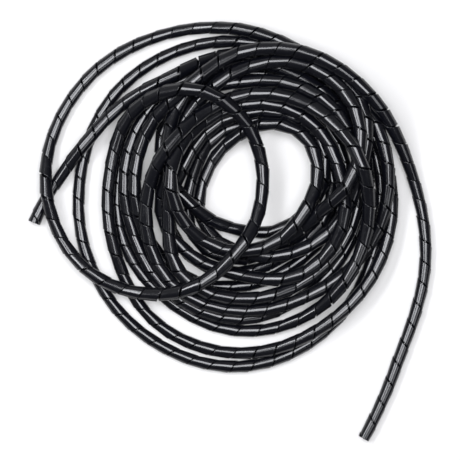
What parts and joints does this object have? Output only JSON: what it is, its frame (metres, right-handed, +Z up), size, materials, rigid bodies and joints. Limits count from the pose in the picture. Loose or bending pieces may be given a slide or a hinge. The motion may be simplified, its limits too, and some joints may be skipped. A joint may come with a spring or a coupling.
{
  "type": "spiral cable wrap",
  "caption": "Loose tangled coil of hollow glossy black plastic tube, cut in a spiral along its length, for wrapping round cables.",
  "frame": {"origin": "on the floor under the middle of the coil's bounding box", "axes": "+Z up from the floor the coil lies on, +Y towards the side of the coil opposite its long free end"},
  "size_m": [0.2008, 0.209, 0.0332],
  "materials": {
    "spiral_wrap": "smooth moulded black polyethylene with a soft gloss"
  },
  "bodies": {
    "root": {"spiral_wrap": "spiral_wrap"}
  },
  "joints": []
}
